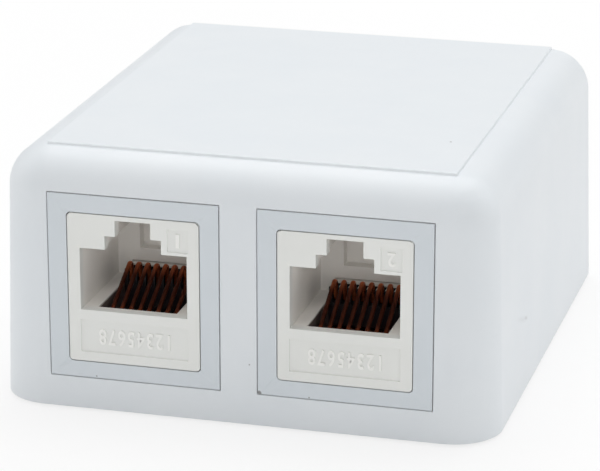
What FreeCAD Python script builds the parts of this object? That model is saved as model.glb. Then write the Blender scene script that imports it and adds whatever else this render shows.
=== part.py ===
"""Two-port surface mount jack box: a drafted cover over a wall base, with two snap-in keystone jacks.

Row frame: +Z up, the port face towards -Y, the origin under the middle of the box on the mounting
surface. Every driving size is a cell of the "Sizes" sheet, in millimetres or degrees, and every
sketch, feature and placement is bound to those cells.
"""
import FreeCAD, Part
import math
import os
import re

import Sketcher
from FreeCAD import Vector

SIZES = (
    # Cover shell
    ("box_width", 54.8, "outside width of the cover at the mounting surface"),
    ("box_depth", 57.8, "outside depth of the cover at the mounting surface"),
    ("shell_height", 28.2, "height of the cover without its raised top panel"),
    ("wall", 2.2, "wall of the cover"),
    ("side_draft", 1.6, "draft of the sides and back, in degrees"),
    ("corner_round", 5.5, "radius of the two upright front corners"),
    ("top_round", 4.6, "radius along the front and sides of the top"),
    ("rim_gap", 0.2, "height of the cover's rim above the mounting surface"),
    ("panel_rise", 0.3, "height of the raised panel on the top"),
    ("panel_front_inset", 4.3, "distance of the panel behind the front face"),
    ("panel_side_inset", 5.15, "distance of the panel from each side, at the mounting surface"),
    ("panel_back_inset", 0.1, "distance of the panel in front of the top's back edge"),
    ("knockout_width", 13.0, "width of the thinned cable breakout in the back wall"),
    ("knockout_height", 9.0, "top of the cable breakout"),
    ("knockout_round", 4.0, "corner radius of the cable breakout"),
    ("knockout_skin", 0.7, "wall left outside the cable breakout"),
    # Base
    ("base_gap", 0.3, "clearance between the base and the inside of the cover"),
    ("base_thickness", 2.0, "thickness of the base plate"),
    ("lip_height", 2.0, "height of the locating lip on the base plate"),
    ("lip_wall", 1.2, "thickness of the locating lip"),
    ("tongue_length", 12.0, "length of each snap tongue along the side"),
    ("tongue_wall", 1.2, "thickness of a snap tongue"),
    ("tongue_slot", 1.0, "slot between a tongue and the lip"),
    ("tongue_top", 6.4, "top of a snap tongue"),
    ("bead_height", 3.9, "height at which the bead is at its full width"),
    ("bead_land", 0.8, "height of the bead's flat"),
    ("bead_rise", 0.4, "how far the bead stands out of its tongue"),
    ("bead_gap", 0.3, "clearance round the bead in its recess"),
    ("entry_width", 18.0, "width of the cable entry"),
    ("entry_length", 11.0, "length of the cable entry"),
    ("entry_web", 2.9, "web between the cable entry and the rear screw's countersink"),
    ("entry_round", 2.0, "corner radius of the cable entry"),
    ("fixing_front", 14.0, "front wall screw behind the port face"),
    ("fixing_back", 7.8, "rear wall screw in front of the back of the cover"),
    ("fixing_hole", 4.2, "diameter of a wall screw hole"),
    ("fixing_sink", 0.9, "countersink of a wall screw hole"),
    ("cradle_depth", 18.0, "front of a cradle behind the port face"),
    ("cradle_length", 2.4, "length of a cradle"),
    ("cradle_wall", 1.3, "thickness of a cradle's ears"),
    ("cradle_ear", 3.0, "height of a cradle's ears above its seat"),
    ("cradle_gap", 0.3, "clearance between a jack and its cradle"),
    ("anchor_web", 2.5, "distance between a tie anchor and the cable entry"),
    ("anchor_width", 7.0, "width of a tie anchor"),
    ("anchor_length", 3.0, "length of a tie anchor"),
    ("anchor_height", 3.4, "height of a tie anchor"),
    ("anchor_tunnel", 3.6, "width of the tie tunnel"),
    ("anchor_bar", 1.2, "thickness of the bar over the tie tunnel"),
    # Bezels
    ("port_pitch", 23.0, "distance between the two ports"),
    ("port_height", 14.0, "height of the bezel centres"),
    ("bezel_width", 18.8, "width of a bezel's face"),
    ("bezel_height", 20.4, "height of a bezel's face"),
    ("bezel_gap", 0.1, "clearance between a bezel's face and its window"),
    ("bezel_flange", 1.1, "thickness of a bezel's face, and the depth of its rebate in the cover"),
    ("sleeve_wall", 1.1, "wall of the bezel's sleeve"),
    ("sleeve_depth", 9.0, "depth of the sleeve behind the port face"),
    ("sleeve_gap", 0.1, "clearance between the sleeve and the cover"),
    ("barb_rise", 0.5, "height of the sleeve's snap barbs"),
    ("barb_length", 2.0, "length of the sleeve's snap barbs"),
    ("barb_width", 7.0, "width of the sleeve's snap barbs"),
    ("barb_gap", 0.1, "clearance between a barb and the inside of the cover"),
    # Jack housing
    ("face_width", 14.5, "width of the jack's face"),
    ("face_height", 16.5, "height of the jack's face"),
    ("face_round", 0.4, "corner radius of the jack's face"),
    ("face_gap", 0.1, "clearance between the jack and its bezel"),
    ("face_drop", 0.1, "how far the jack's centre lies below the bezel's"),
    ("shoulder_width", 16.4, "width of the jack behind the sleeve"),
    ("shoulder_height", 18.2, "height of the jack behind the sleeve"),
    ("shoulder_gap", 0.1, "clearance between the sleeve and the jack's shoulder"),
    ("housing_depth", 17.0, "depth of the housing behind the port face"),
    ("port_width", 11.8, "width of the plug opening"),
    ("port_sill", 2.45, "lower edge of the plug opening below the jack's centre"),
    ("port_head", 4.45, "upper edge of the plug opening above the jack's centre"),
    ("step_width", 6.2, "width of the step over the plug opening"),
    ("step_top", 5.95, "top of the step"),
    ("notch_width", 3.9, "width of the notch for the plug's latch"),
    ("notch_top", 7.75, "top of the latch notch"),
    ("chamber_width", 6.8, "width of the latch chamber behind the face"),
    ("port_lip", 1.3, "thickness of the face round the plug opening"),
    ("port_reach", 12.7, "depth of the plug opening"),
    ("pocket_width", 6.7, "width of the latch's pocket in the back of the plug opening"),
    ("pocket_sill", 0.55, "floor of the latch's pocket above the jack's centre"),
    ("pocket_depth", 1.3, "depth of the latch's pocket"),
    ("trench_floor", 5.9, "floor of the contact trench below the jack's centre"),
    ("field_width", 11.9, "width of the recessed label field"),
    ("field_top", 3.6, "upper edge of the label field below the jack's centre"),
    ("field_bottom", 7.2, "lower edge of the label field below the jack's centre"),
    ("mark_left", 3.8, "inner edge of the small square recess beside the notch"),
    ("mark_right", 6.05, "outer edge of the small square recess"),
    ("mark_bottom", 4.8, "lower edge of the small square recess"),
    ("mark_top", 7.3, "upper edge of the small square recess"),
    ("field_depth", 0.2, "depth of the label field and of the small square recess"),
    ("hook_width", 8.0, "width of the fixed hook on top of the jack"),
    ("hook_start", 1.9, "front of the hook behind the port face"),
    ("hook_length", 1.8, "length of the hook"),
    ("hook_rise", 0.9, "height of the hook"),
    ("catch_gap", 0.25, "clearance round the hook and the latch in the sleeve's windows"),
    ("latch_width", 6.0, "width of the jack's spring latch"),
    ("latch_wall", 1.0, "thickness of the spring latch"),
    ("latch_tip", 3.0, "front end of the spring latch behind the port face"),
    ("latch_inset", 0.1, "how far the latch lies inside the jack's lower face"),
    ("latch_rise", 0.9, "height of the latch's nub"),
    ("latch_nub", 4.0, "front of the nub behind the port face"),
    ("latch_ramp", 1.2, "length of the nub's ramp"),
    ("latch_land", 0.9, "length of the nub's flat"),
    ("latch_flex", 0.5, "room over the latch to bend into"),
    # Contacts and their carrier
    ("contact_pitch", 1.016, "spacing of the spring contacts"),
    ("contact_width", 0.5, "width of a spring contact"),
    ("contact_gauge", 0.35, "thickness of a spring contact"),
    ("contact_slope", 28.0, "angle of the contacts in the port, in degrees"),
    ("contact_bend", 1.0, "bend radius at the middle of a contact's strip"),
    ("contact_run", 5.6, "lower run of the contacts below the jack's centre"),
    ("contact_peak", 10.1, "depth of a contact's hanging end behind the port face"),
    ("contact_crest", 0.18, "crest of a contact's middle line below the jack's centre"),
    ("tip_bend", 0.45, "bend radius of a contact's tip at the middle of its strip"),
    ("contact_tip", 2.4, "foot of a contact's hanging end below the jack's centre"),
    ("carrier_gap", 0.1, "clearance between the carrier and the housing"),
    ("carrier_width", 8.7, "width of the bay that the carrier slides into"),
    ("carrier_drop", 1.0, "top of the carrier below the jack's centre"),
    ("comb_front", 9.8, "front of the carrier's comb behind the port face"),
    ("comb_depth", 2.1, "depth of the comb's slots"),
    ("comb_slot", 0.62, "width of the comb's slots"),
    ("comb_floor", 2.8, "floor of the comb's slots below the jack's centre"),
    # Circuit board
    ("board_width", 14.0, "width of the circuit board"),
    ("board_height", 15.6, "height of the circuit board"),
    ("board_thickness", 1.2, "thickness of the circuit board"),
    ("board_gap", 0.1, "clearance round the circuit board"),
    ("board_front", 14.9, "front of the circuit board behind the port face"),
    ("contact_hole", 0.8, "width of the board's contact holes"),
    ("terminal_hole", 1.0, "width of the board's terminal holes"),
    # Terminal block
    ("spigot_gap", 0.2, "clearance between the board and the terminal block"),
    ("block_flange", 2.0, "thickness of the terminal block's flange"),
    ("row_offset", 4.1, "distance of each terminal row from the jack's centre"),
    ("row_height", 5.8, "height of a row of towers"),
    ("row_width", 14.2, "width of a row of towers"),
    ("tower_length", 7.5, "length of the towers behind the flange"),
    ("terminal_pitch", 3.3, "spacing of the terminals"),
    ("wire_slot", 1.2, "width of a tower's wire slot"),
    ("wire_slot_floor", 1.5, "distance of a wire slot's floor behind the flange"),
    ("terminal_width", 2.4, "width of a terminal's blade"),
    ("terminal_gauge", 0.4, "thickness of a terminal"),
    ("terminal_gap", 0.1, "clearance round a terminal in its pocket"),
    ("terminal_inset", 1.0, "distance of a blade's end inside its tower's"),
    ("terminal_leg", 0.6, "width of a terminal's leg"),
    ("slit_width", 0.35, "width of the slit that grips a wire"),
    ("slit_depth", 3.6, "depth of the slit"),
    ("slit_mouth", 1.2, "width of the slit's tapered mouth"),
    # Rear cap
    ("cap_gap", 0.1, "clearance between the rear cap and the flange"),
    ("cap_wall", 0.9, "wall of the rear cap"),
    ("cap_back", 1.6, "thickness of the rear cap's back"),
    ("cap_clearance", 0.8, "room between the towers and the cap's back"),
    ("cap_round", 1.2, "radius of the cap's long edges"),
    ("cap_bevel", 0.6, "bevel round the cap's back"),
    ("gland_length", 2.2, "length of the cable collar on the cap"),
    ("gland_wall", 1.4, "wall of the cable collar"),
    ("cable_hole", 6.6, "diameter of the cap's cable hole"),
)

CONTACTS = 8
ROW_TERMINALS = 4
TOP, FRONT, SIDE = "XY_Plane", "XZ_Plane", "YZ_Plane"
TINY = 1e-6

doc = FreeCAD.newDocument("jack_box")
sheet = doc.addObject("Spreadsheet::Sheet", "Sizes")
for row, (alias, number, meaning) in enumerate(SIZES, start=1):
    sheet.set(f"A{row}", meaning)
    sheet.set(f"B{row}", str(number))
    sheet.setAlias(f"B{row}", alias)
doc.recompute()
ALIASES = {alias for alias, number, meaning in SIZES}


def bound(formula):
    """The formula with each size's name turned into its cell of the sheet."""
    return re.sub(r"[a-z_]+", lambda word: f"Sizes.{word[0]}" if word[0] in ALIASES else word[0], formula)


def value(formula):
    """The number that a formula on the sheet gives now."""
    return float(sheet.evalExpression(bound(formula)))


def rectangle(left, right, low, high):
    """The four corners of a rectangle, counter-clockwise from its lower left."""
    return [(left, low), (right, low), (right, high), (left, high)]


def centred(across, up, width, height):
    """The four corners of a rectangle about its centre."""
    return rectangle(f"{across} - ({width}) / 2", f"{across} + ({width}) / 2",
                     f"{up} - ({height}) / 2", f"{up} + ({height}) / 2")


class Piece:
    """One sub-part: a PartDesign body in its own frame, with the placement that seats it in the box."""

    def __init__(self, label, seat=("0", "0", "0")):
        self.body = doc.addObject("PartDesign::Body", label)
        self.body.Label = label
        self.volume = 0.0
        for axis, place in zip("xyz", seat):
            self.body.setExpression(f".Placement.Base.{axis}", bound(place))

    def datum(self, role):
        """The origin plane or axis of the body that has this role."""
        return next(item for item in self.body.Origin.OriginFeatures if item.Role == role)

    def sketch(self, name, plane, start):
        """An empty sketch on an origin plane, moved along the plane's row axis to start."""
        sketch = self.body.newObject("Sketcher::SketchObject", f"{name}_sketch")
        sketch.AttachmentSupport = [(self.datum(plane), "")]
        sketch.MapMode = "FlatFace"
        side = "-" if plane == FRONT else ""
        sketch.setExpression("AttachmentOffset.Base.z", bound(f"{side}({start})"))
        return sketch

    def polygon(self, sketch, corners, radii):
        """Draw straight sides between corners, with an arc of its own radius at each corner in radii."""
        count = len(corners)
        points = [Vector(value(across), value(up), 0) for across, up in corners]
        marks = []
        for (across, up), point in zip(corners, points):
            mark = sketch.addGeometry(Part.Point(point), True)
            marks.append(mark)
            self.drive(sketch, Sketcher.Constraint("DistanceX", -1, 1, mark, 1, point.x), across)
            self.drive(sketch, Sketcher.Constraint("DistanceY", -1, 1, mark, 1, point.y), up)
        arrive, leave, arcs = list(points), list(points), {}
        for index, radius in radii.items():
            here, last, after = points[index], points[index - 1], points[(index + 1) % count]
            back, ahead = (last - here).normalize(), (after - here).normalize()
            half = back.getAngle(ahead) / 2
            reach = value(radius) / math.tan(half)
            arrive[index], leave[index] = here + back * reach, here + ahead * reach
            centre = here + (back + ahead).normalize() * (value(radius) / math.sin(half))
            left_turn = (here - last).cross(after - here).z > 0
            arcs[index] = (centre, left_turn)
        sides = [sketch.addGeometry(Part.LineSegment(leave[index], arrive[(index + 1) % count]), False)
                 for index in range(count)]
        for index, side in enumerate(sides):
            for end in (index, (index + 1) % count):
                if end in radii:
                    sketch.addConstraint(Sketcher.Constraint("PointOnObject", marks[end], 1, side))
        for index in range(count):
            before, after = sides[index - 1], sides[index]
            if index not in radii:
                sketch.addConstraint(Sketcher.Constraint("Coincident", before, 2, marks[index], 1))
                sketch.addConstraint(Sketcher.Constraint("Coincident", after, 1, marks[index], 1))
                continue
            centre, left_turn = arcs[index]
            ends = (arrive[index], leave[index]) if left_turn else (leave[index], arrive[index])
            first, last = (math.atan2(end.y - centre.y, end.x - centre.x) for end in ends)
            last += 2 * math.pi if last < first else 0
            circle = Part.Circle(centre, Vector(0, 0, 1), value(radii[index]))
            arc = sketch.addGeometry(Part.ArcOfCircle(circle, first, last), False)
            start, finish = (1, 2) if left_turn else (2, 1)
            sketch.addConstraint(Sketcher.Constraint("Tangent", before, 2, arc, start))
            sketch.addConstraint(Sketcher.Constraint("Tangent", arc, finish, after, 1))
            self.drive(sketch, Sketcher.Constraint("Radius", arc, value(radii[index])), radii[index])

    def drive(self, sketch, constraint, formula):
        """Add a constraint whose number is bound to the sheet."""
        index = sketch.addConstraint(constraint)
        sketch.setExpression(f"Constraints[{index}]", bound(formula))

    def extrude(self, kind, name, plane, start, length, corners=(), radii=None, circles=()):
        """Pad or pocket an outline or circles from start along the plane's row axis, over length."""
        sketch = self.sketch(name, plane, start)
        if corners:
            self.polygon(sketch, corners, radii or {})
        for across, up, diameter in circles:
            centre = Vector(value(across), value(up), 0)
            circle = sketch.addGeometry(Part.Circle(centre, Vector(0, 0, 1), value(diameter) / 2), False)
            self.drive(sketch, Sketcher.Constraint("DistanceX", -1, 1, circle, 3, centre.x), across)
            self.drive(sketch, Sketcher.Constraint("DistanceY", -1, 1, circle, 3, centre.y), up)
            self.drive(sketch, Sketcher.Constraint("Diameter", circle, value(diameter)), diameter)
        feature = self.body.newObject(f"PartDesign::{kind}", name)
        feature.Profile = sketch
        feature.Reversed = (plane == FRONT) == (kind == "Pad")
        feature.setExpression("Length", bound(length))
        return self.settle(feature, grows=kind == "Pad")

    def add(self, name, plane, start, length, corners=(), radii=None, circles=()):
        """Pad an outline."""
        return self.extrude("Pad", name, plane, start, length, corners, radii, circles)

    def cut(self, name, plane, start, length, corners=(), radii=None, circles=()):
        """Pocket an outline."""
        return self.extrude("Pocket", name, plane, start, length, corners, radii, circles)

    def settle(self, feature, grows):
        """Recompute, and refuse a feature that changed the volume the wrong way or not at all."""
        self.body.Tip = feature
        doc.recompute()
        change = feature.Shape.Volume - self.volume
        self.volume += change
        if change * (1 if grows else -1) < TINY:
            raise RuntimeError(f"{self.body.Label}: {feature.Label} changes the volume by {change:.6f}")
        return feature

    def dress(self, kind, name, size_property, size, picked):
        """Fillet, chamfer, draft or shell the picked edges or faces of the tip."""
        tip = self.body.Tip
        feature = self.body.newObject(f"PartDesign::{kind}", name)
        feature.Base = (tip, picked)
        feature.setExpression(size_property, bound(size))
        return feature

    def subtract(self, name, tool):
        """Cut another body, which is kept only as this one's tool, out of this one."""
        boolean = self.body.newObject("PartDesign::Boolean", name)
        boolean.Type = "Cut"
        boolean.setObjects([tool.body])
        return self.settle(boolean, grows=False)

    def edges(self, test):
        """Names of the tip's edges that pass a test on their bounding box."""
        edges = self.body.Tip.Shape.Edges
        return [f"Edge{number}" for number, edge in enumerate(edges, start=1) if test(edge.BoundBox)]

    def faces(self, test):
        """Names of the tip's faces that pass a test on the face."""
        faces = self.body.Tip.Shape.Faces
        return [f"Face{number}" for number, face in enumerate(faces, start=1) if test(face)]

    def mirror(self, name, features, plane=SIDE):
        """Mirror features in an origin plane."""
        mirrored = self.body.newObject("PartDesign::Mirrored", name)
        mirrored.Originals = features
        mirrored.MirrorPlane = (self.datum(plane), [""])
        return self.settle(mirrored, grows=features[0].TypeId == "PartDesign::Pad")

    def repeat(self, name, features, axis, pitch, count):
        """Repeat features along an origin axis."""
        pattern = self.body.newObject("PartDesign::LinearPattern", name)
        pattern.Originals = features
        pattern.Direction = (self.datum(axis), [""])
        pattern.Occurrences = count
        pattern.setExpression("Length", bound(f"{pitch} * {count - 1}"))
        return self.settle(pattern, grows=features[0].TypeId == "PartDesign::Pad")


def tapered_block(label, inset):
    """A block with drafted sides and back, rounded front corners and a rounded top, set in all round."""
    block = Piece(label)
    half_width, back = f"box_width / 2 - {inset}", f"box_depth / 2 - {inset}"
    front, top = f"{inset} - box_depth / 2", f"shell_height - {inset}"
    block.add("block", TOP, "0", top, rectangle(f"-({half_width})", half_width, front, back))
    drafted = block.faces(lambda face: abs(face.normalAt(0, 0).x) > 0.5 or face.normalAt(0, 0).y > 0.5)
    taper = block.dress("Draft", "side_taper", "Angle", "side_draft", drafted)
    taper.NeutralPlane = (block.datum(TOP), [""])
    block.settle(taper, grows=False)

    front_line, top_line = value(front) + TINY, value(top) - TINY
    upright = block.edges(lambda box: box.YMax < front_line and box.ZMin < TINY and box.ZMax > top_line)
    block.settle(block.dress("Fillet", "corner_rounds", "Radius", f"corner_round - {inset}", upright),
                 grows=False)
    back_line = value(f"{back} - ({top}) * tan(side_draft)") - TINY
    crown = block.edges(lambda box: box.ZMin > top_line and box.YMin < back_line)
    block.settle(block.dress("Fillet", "top_rounds", "Radius", f"top_round - {inset}", crown), grows=False)
    return block


def make_cover():
    """The drafted shell with its raised panel, two stepped windows, snap recesses and breakout."""
    cover = tapered_block("cover", "0")
    hollow = tapered_block("cover_hollow", "wall")
    cover.subtract("shell", hollow)
    cover.cut("rim", TOP, "0", "rim_gap", centred("0", "0", "box_width * 2", "box_depth * 2"))
    side = "box_width / 2 - panel_side_inset"
    cover.add("top_panel", TOP, "shell_height - wall / 2", "wall / 2 + panel_rise",
              rectangle(f"-({side})", side, "panel_front_inset - box_depth / 2",
                        "box_depth / 2 - shell_height * tan(side_draft) - panel_back_inset"))

    front = "-box_depth / 2"
    rebate = cover.cut("window_rebate", FRONT, front, "bezel_flange",
                       centred("port_pitch / 2", "port_height", "bezel_width + 2 * bezel_gap",
                               "bezel_height + 2 * bezel_gap"))
    aperture = cover.cut("window_aperture", FRONT, front, "wall * 2",
                         centred("port_pitch / 2", "port_height - face_drop",
                                 "face_width + 2 * (face_gap + sleeve_wall + sleeve_gap)",
                                 "face_height + 2 * (face_gap + sleeve_wall + sleeve_gap)"))
    cover.mirror("left_window", [rebate, aperture])

    recess = cover.cut("snap_recess", SIDE, "box_width / 2 - wall * 2",
                       "wall + bead_rise + bead_gap - base_gap",
                       rectangle("-tongue_length / 2 - bead_gap", "tongue_length / 2 + bead_gap",
                                 "bead_height - bead_rise - bead_gap",
                                 "bead_height + bead_land + bead_rise + bead_gap"))
    cover.mirror("left_snap_recess", [recess])
    cover.cut("cable_breakout", FRONT, "box_depth / 2 - wall * 2",
              "wall * 2 - knockout_skin - knockout_height * tan(side_draft)",
              rectangle("-knockout_width / 2", "knockout_width / 2", "-wall", "knockout_height"),
              {2: "knockout_round", 3: "knockout_round"})


def base_outline(inset):
    """The base's plan, set in from the inside of the cover by its gap and a further inset."""
    half_width = f"box_width / 2 - wall - base_gap - {inset}"
    half_depth = f"box_depth / 2 - wall - base_gap - {inset}"
    corners = rectangle(f"-({half_width})", half_width, f"-({half_depth})", half_depth)
    radius = f"corner_round - wall - base_gap - {inset}"
    return corners, {0: radius, 1: radius}


def make_base():
    """The wall plate with its lip, snap tongues, cradles, tie anchors, cable entry and screw holes."""
    base = Piece("base")
    rear_screw = "box_depth / 2 - fixing_back"
    entry = f"{rear_screw} - fixing_hole / 2 - fixing_sink - entry_web - entry_length / 2"
    corners, radii = base_outline("0")
    base.add("plate", TOP, "0", "base_thickness", corners, radii)
    base.add("lip", TOP, "base_thickness", "lip_height", corners, radii)
    corners, radii = base_outline("lip_wall")
    base.cut("tray", TOP, "base_thickness", "lip_height", corners, radii)

    outer = "box_width / 2 - wall - base_gap"
    gap = base.cut("tongue_slots", TOP, "base_thickness", "lip_height",
                   centred(outer, "0", "lip_wall * 3", "tongue_length + 2 * tongue_slot"))
    base.mirror("left_tongue_slots", [gap])
    tongue = base.add("tongue", FRONT, "-tongue_length / 2", "tongue_length", [
        (f"{outer} - tongue_wall", "base_thickness / 2"),
        (outer, "base_thickness / 2"),
        (outer, "bead_height - bead_rise"),
        (f"{outer} + bead_rise", "bead_height"),
        (f"{outer} + bead_rise", "bead_height + bead_land"),
        (outer, "bead_height + bead_land + bead_rise"),
        (outer, "tongue_top"),
        (f"{outer} - tongue_wall", "tongue_top"),
    ])
    base.mirror("left_tongue", [tongue])

    seat = "port_height - face_drop - shoulder_height / 2 - cradle_gap"
    inner = "port_pitch / 2 - shoulder_width / 2 - cradle_gap"
    outside = "port_pitch / 2 + shoulder_width / 2 + cradle_gap"
    cradle = base.add("cradle", FRONT, "cradle_depth - box_depth / 2", "cradle_length", [
        (f"{inner} - cradle_wall", "base_thickness / 2"),
        (f"{outside} + cradle_wall", "base_thickness / 2"),
        (f"{outside} + cradle_wall", f"{seat} + cradle_ear"),
        (outside, f"{seat} + cradle_ear"),
        (outside, seat),
        (inner, seat),
        (inner, f"{seat} + cradle_ear"),
        (f"{inner} - cradle_wall", f"{seat} + cradle_ear"),
    ])
    base.mirror("left_cradle", [cradle])

    near = "entry_width / 2 + anchor_web"
    middle = f"{near} + anchor_width / 2"
    anchor = base.add("tie_anchor", FRONT, f"{entry} - anchor_length / 2", "anchor_length",
                      rectangle(near, f"{near} + anchor_width", "base_thickness / 2",
                                "base_thickness + anchor_height"))
    tunnel = base.cut("tie_tunnel", FRONT, f"{entry} - anchor_length / 2", "anchor_length",
                      rectangle(f"{middle} - anchor_tunnel / 2", f"{middle} + anchor_tunnel / 2",
                                "base_thickness", "base_thickness + anchor_height - anchor_bar"))
    base.mirror("left_tie_anchor", [anchor, tunnel])

    base.cut("cable_entry", TOP, "0", "base_thickness",
             centred("0", entry, "entry_width", "entry_length"),
             {corner: "entry_round" for corner in range(4)})
    screws = [("0", place, "fixing_hole") for place in ("fixing_front - box_depth / 2", rear_screw)]
    base.cut("screw_holes", TOP, "0", "base_thickness", circles=screws)
    plate_top = value("base_thickness")
    reach = value("fixing_hole") + TINY
    rims = base.edges(lambda box: abs(box.ZMin - plate_top) < TINY and abs(box.ZMax - plate_top) < TINY
                      and abs(box.Center.x) < TINY and box.XLength < reach and box.YLength > TINY)
    base.settle(base.dress("Chamfer", "countersinks", "Size", "fixing_sink", rims), grows=False)


def make_bezel(label, across):
    """The snap-in keystone frame: a flush face, a sleeve with catch windows, and barbs at its sides."""
    bezel = Piece(label, (across, "-box_depth / 2", "port_height"))
    hole_width, hole_height = "face_width + 2 * face_gap", "face_height + 2 * face_gap"
    bezel.add("face", FRONT, "0", "bezel_flange", centred("0", "0", "bezel_width", "bezel_height"))
    bezel.add("sleeve", FRONT, "bezel_flange", "sleeve_depth - bezel_flange",
              centred("0", "-face_drop", f"{hole_width} + 2 * sleeve_wall",
                      f"{hole_height} + 2 * sleeve_wall"))
    bezel.cut("opening", FRONT, "0", "sleeve_depth",
              centred("0", "-face_drop", hole_width, hole_height),
              {corner: "face_round + face_gap" for corner in range(4)})
    bezel.cut("hook_window", TOP, "0", "bezel_height",
              rectangle("-hook_width / 2 - catch_gap", "hook_width / 2 + catch_gap",
                        "hook_start - catch_gap", "hook_start + hook_length + catch_gap"))
    nub_end = "latch_nub + latch_ramp + latch_land"
    bezel.cut("latch_window", TOP, "-bezel_height", "bezel_height",
              rectangle("-latch_width / 2 - catch_gap", "latch_width / 2 + catch_gap",
                        "latch_nub - catch_gap", f"{nub_end} + catch_gap"))
    flank = f"({hole_width}) / 2 + sleeve_wall"
    barb = bezel.add("barb", TOP, "-face_drop - barb_width / 2", "barb_width", [
        (f"{flank} - sleeve_wall / 2", "wall + barb_gap"),
        (f"{flank} + barb_rise", "wall + barb_gap"),
        (flank, "wall + barb_gap + barb_length"),
        (f"{flank} - sleeve_wall / 2", "wall + barb_gap + barb_length"),
    ])
    bezel.mirror("left_barb", [barb])


def jack_seat(across):
    """Where a jack's face centre lies."""
    return (across, "-box_depth / 2", "port_height - face_drop")


def make_housing(label, across):
    """The jack's front moulding: plug opening, contact trench, label recesses, hook and spring latch."""
    housing = Piece(label, jack_seat(across))
    shoulder = "sleeve_depth + shoulder_gap"
    housing.add("nose", FRONT, "0", shoulder, centred("0", "0", "face_width", "face_height"),
                {corner: "face_round" for corner in range(4)})
    housing.add("shoulder", FRONT, shoulder, f"housing_depth - ({shoulder})",
                centred("0", "0", "shoulder_width", "shoulder_height"))
    housing.cut("plug_mouth", FRONT, "0", "port_lip", [
        ("-port_width / 2", "-port_sill"), ("port_width / 2", "-port_sill"),
        ("port_width / 2", "port_head"), ("step_width / 2", "port_head"),
        ("step_width / 2", "step_top"), ("notch_width / 2", "step_top"),
        ("notch_width / 2", "notch_top"), ("-notch_width / 2", "notch_top"),
        ("-notch_width / 2", "step_top"), ("-step_width / 2", "step_top"),
        ("-step_width / 2", "port_head"), ("-port_width / 2", "port_head"),
    ])
    housing.cut("plug_cavity", FRONT, "port_lip", "port_reach - port_lip", [
        ("-port_width / 2", "-port_sill"), ("port_width / 2", "-port_sill"),
        ("port_width / 2", "port_head"), ("chamber_width / 2", "port_head"),
        ("chamber_width / 2", "notch_top"), ("-chamber_width / 2", "notch_top"),
        ("-chamber_width / 2", "port_head"), ("-port_width / 2", "port_head"),
    ])
    pocket = "board_front - board_gap"
    housing.cut("carrier_bay", FRONT, "port_lip", f"{pocket} - port_lip",
                rectangle("-carrier_width / 2", "carrier_width / 2", "-trench_floor",
                          "carrier_gap - carrier_drop"))
    housing.cut("latch_pocket", FRONT, "port_reach", "pocket_depth",
                rectangle("-pocket_width / 2", "pocket_width / 2", "pocket_sill", "notch_top"))
    housing.cut("board_pocket", FRONT, pocket, f"housing_depth - ({pocket})",
                centred("0", "0", "board_width + 2 * board_gap", "board_height + 2 * board_gap"))
    housing.cut("label_field", FRONT, "0", "field_depth",
                rectangle("-field_width / 2", "field_width / 2", "-field_bottom", "-field_top"))
    housing.cut("mark_recess", FRONT, "0", "field_depth",
                rectangle("mark_left", "mark_right", "mark_bottom", "mark_top"))
    crest = "face_height / 2"
    housing.add("hook", SIDE, "-hook_width / 2", "hook_width", [
        ("hook_start", f"{crest} - hook_rise / 2"),
        ("hook_start + hook_length", f"{crest} - hook_rise / 2"),
        ("hook_start + hook_length", f"{crest} + hook_rise / 3"),
        ("hook_start + hook_length / 2", f"{crest} + hook_rise"),
        ("hook_start", f"{crest} + hook_rise"),
    ])
    under = "latch_inset - face_height / 2"
    housing.cut("latch_well", TOP, "-face_height / 2", "latch_inset + latch_wall + latch_flex",
                rectangle("-latch_width / 2 - latch_flex", "latch_width / 2 + latch_flex",
                          "latch_tip - latch_flex", shoulder))
    nub = "latch_nub + latch_ramp"
    housing.add("latch", SIDE, "-latch_width / 2", "latch_width", [
        ("latch_tip", f"{under}"),
        ("latch_nub", f"{under}"),
        (nub, f"{under} - latch_rise"),
        (f"{nub} + latch_land", f"{under} - latch_rise"),
        (f"{nub} + latch_land", f"{under}"),
        (f"{shoulder} + latch_wall", f"{under}"),
        (f"{shoulder} + latch_wall", f"{under} + latch_wall"),
        ("latch_tip", f"{under} + latch_wall"),
    ])


def make_carrier(label, across):
    """The block that holds the contacts: a comb for their free ends over channels for their runs."""
    carrier = Piece(label, jack_seat(across))
    side = "carrier_width / 2 - carrier_gap"
    back = "board_front - board_gap"
    carrier.add("block", FRONT, "comb_front", f"{back} - comb_front",
                rectangle(f"-({side})", side, "carrier_gap - trench_floor", "-carrier_drop"))
    first = f"-contact_pitch * {CONTACTS - 1} / 2"
    slot = carrier.cut("comb_slot", FRONT, "comb_front", "comb_depth",
                       rectangle(f"{first} - comb_slot / 2", f"{first} + comb_slot / 2", "-comb_floor",
                                 "-carrier_drop"))
    channel = carrier.cut("run_channel", FRONT, "comb_front", f"{back} - comb_front",
                          rectangle(f"{first} - comb_slot / 2", f"{first} + comb_slot / 2",
                                    "-trench_floor", "contact_gauge - contact_run"))
    carrier.repeat("comb", [slot, channel], "X_Axis", "contact_pitch", CONTACTS)


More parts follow.
